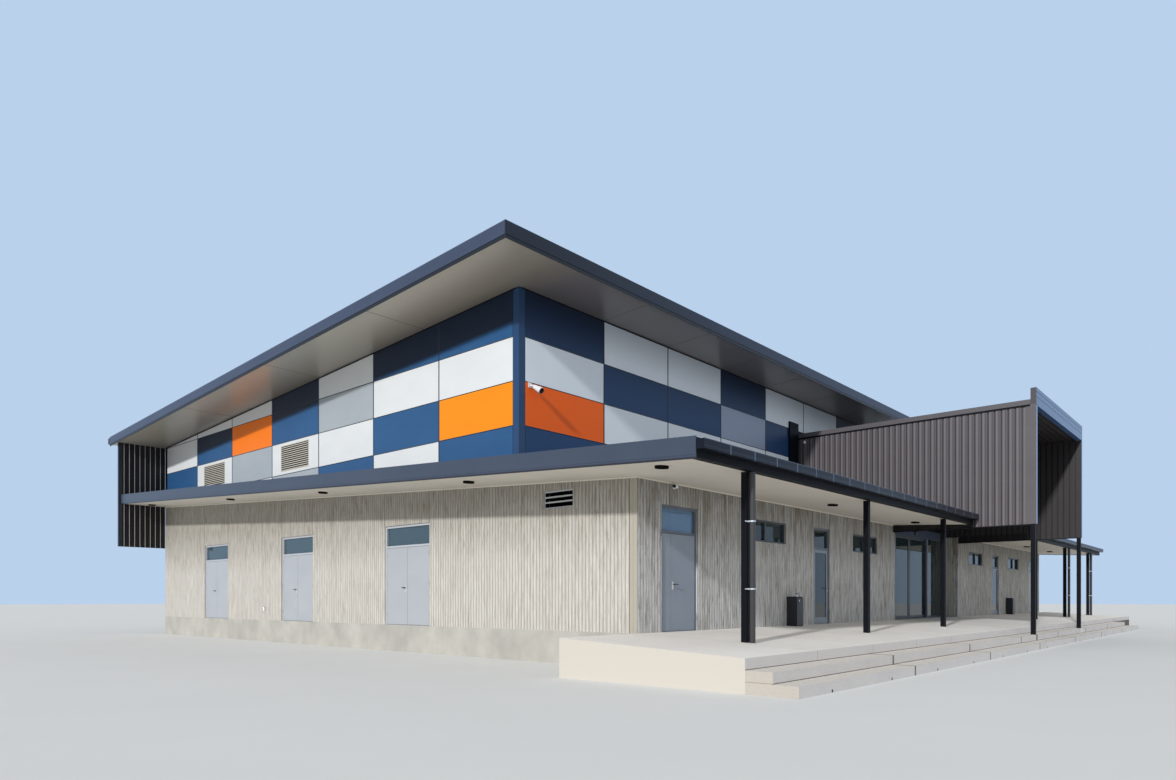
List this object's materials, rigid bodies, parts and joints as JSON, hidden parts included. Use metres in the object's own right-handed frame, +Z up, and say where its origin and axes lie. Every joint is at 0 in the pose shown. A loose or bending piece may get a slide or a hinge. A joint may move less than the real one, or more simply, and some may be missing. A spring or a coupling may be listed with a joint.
{
  "type": "school building",
  "caption": "Tall school hall with coloured panel walls, low lean-to roofs, veranda with steps, tall entrance hood and hinged and sliding doors.",
  "frame": {"origin": "centre of the plan's bounding box, at the level of the court on which the building stands", "axes": "+X east along the veranda front, +Y from the front to the back, +Z up"},
  "size_m": [39.35, 30.07, 9.1119],
  "materials": {
    "concrete": "board-formed fair-faced concrete",
    "paving": "floated concrete paving",
    "step_concrete": "precast concrete",
    "panel_blue": "satin coated panel",
    "panel_white": "satin coated panel",
    "panel_grey": "satin coated panel",
    "panel_orange": "satin coated panel",
    "wall_core": "insulated core of the upper walls",
    "flashing": "folded sheet",
    "roof_metal": "coated steel roofing",
    "fascia_metal": "coated steel edge board",
    "soffit_board": "painted board",
    "hood_metal": "ribbed coated steel",
    "steel_paint": "painted steel",
    "dark_metal": "dark coated steel",
    "door_paint": "painted steel door",
    "window_metal": "anodised sections",
    "glass": "clear float glass"
  },
  "bodies": {
    "building": {"floor_slab": "concrete", "veranda_floor": "paving", "upper_step": "step_concrete", "lower_step": "step_concrete", "front_wall_west": "concrete", "front_wall_east": "concrete", "west_wall": "concrete", "east_wall": "concrete", "back_wall": "concrete", "door_lintels": "concrete", "upper_walls": "wall_core", "inner_columns": "steel_paint", "panels_blue": "panel_blue", "panels_white": "panel_white", "panels_grey": "panel_grey", "panels_orange": "panel_orange", "corner_flashings": "flashing", "main_soffit": "soffit_board", "main_roof": "roof_metal", "main_fascia": "fascia_metal", "main_gutter": "fascia_metal", "canopy_roof": "roof_metal", "canopy_soffit": "soffit_board", "canopy_fascia": "fascia_metal", "edge_beam": "dark_metal", "front_gutter": "fascia_metal", "veranda_posts": "steel_paint", "hood_posts": "steel_paint", "hood_walls": "hood_metal", "hood_shoulders": "hood_metal", "hood_roof": "roof_metal", "hood_fascia": "hood_metal", "hood_cappings": "hood_metal", "drinking_fountains": "dark_metal", "hood_end_wall": "dark_metal", "wing_screens": "dark_metal", "downpipes": "steel_paint", "door_jambs": "door_paint", "door_rails": "door_paint", "closed_doors": "door_paint", "window_frames": "window_metal", "fixed_glass": "glass", "entrance_rails": "fascia_metal", "louvres": "steel_paint"},
    "front_leaf": {"front_door_leaf": "door_paint"},
    "front_side_leaf": {"front_door_side_leaf": "door_paint"},
    "glazed_west": {"glazed_door_west": "door_paint", "glazed_pane_west": "glass"},
    "glazed_east": {"glazed_door_east": "door_paint", "glazed_pane_east": "glass"},
    "slider_west": {"sliding_leaf_west": "window_metal", "sliding_pane_west": "glass"},
    "slider_east": {"sliding_leaf_east": "window_metal", "sliding_pane_east": "glass"},
    "side_1_near": {"side_door_1_near": "door_paint"},
    "side_1_far": {"side_door_1_far": "door_paint"},
    "side_2_near": {"side_door_2_near": "door_paint"},
    "side_2_far": {"side_door_2_far": "door_paint"},
    "side_3_near": {"side_door_3_near": "door_paint"},
    "side_3_far": {"side_door_3_far": "door_paint"}
  },
  "joints": [
    {"name": "front_leaf_hinge", "type": "hinge", "parent": "building", "child": "front_leaf", "pos_m": [-15.243, -10.295, 1.725], "axis": [0, 0, 1], "range_deg": [0, 90]},
    {"name": "front_side_leaf_hinge", "type": "hinge", "parent": "building", "child": "front_side_leaf", "pos_m": [-16.467, -10.295, 1.725], "axis": [0, 0, -1], "range_deg": [0, 90]},
    {"name": "glazed_west_hinge", "type": "hinge", "parent": "building", "child": "glazed_west", "pos_m": [-9.267, -10.295, 1.725], "axis": [0, 0, -1], "range_deg": [0, 90]},
    {"name": "glazed_east_hinge", "type": "hinge", "parent": "building", "child": "glazed_east", "pos_m": [9.717, -10.295, 1.725], "axis": [0, 0, 1], "range_deg": [0, 90]},
    {"name": "side_1_near_hinge", "type": "hinge", "parent": "building", "child": "side_1_near", "pos_m": [-17.335, -3.387, 1.725], "axis": [0, 0, 1], "range_deg": [0, 90]},
    {"name": "side_1_far_hinge", "type": "hinge", "parent": "building", "child": "side_1_far", "pos_m": [-17.335, -1.483, 1.725], "axis": [0, 0, -1], "range_deg": [0, 90]},
    {"name": "side_2_near_hinge", "type": "hinge", "parent": "building", "child": "side_2_near", "pos_m": [-17.335, 2.533, 1.725], "axis": [0, 0, 1], "range_deg": [0, 90]},
    {"name": "side_2_far_hinge", "type": "hinge", "parent": "building", "child": "side_2_far", "pos_m": [-17.335, 4.397, 1.725], "axis": [0, 0, -1], "range_deg": [0, 90]},
    {"name": "side_3_near_hinge", "type": "hinge", "parent": "building", "child": "side_3_near", "pos_m": [-17.335, 8.493, 1.725], "axis": [0, 0, 1], "range_deg": [0, 90]},
    {"name": "side_3_far_hinge", "type": "hinge", "parent": "building", "child": "side_3_far", "pos_m": [-17.335, 10.357, 1.725], "axis": [0, 0, -1], "range_deg": [0, 90]},
    {"name": "slider_west_slide", "type": "slide", "parent": "building", "child": "slider_west", "axis": [-1, 0, 0], "range_m": [0, 1.2]},
    {"name": "slider_east_slide", "type": "slide", "parent": "building", "child": "slider_east", "axis": [1, 0, 0], "range_m": [0, 1.4]}
  ]
}
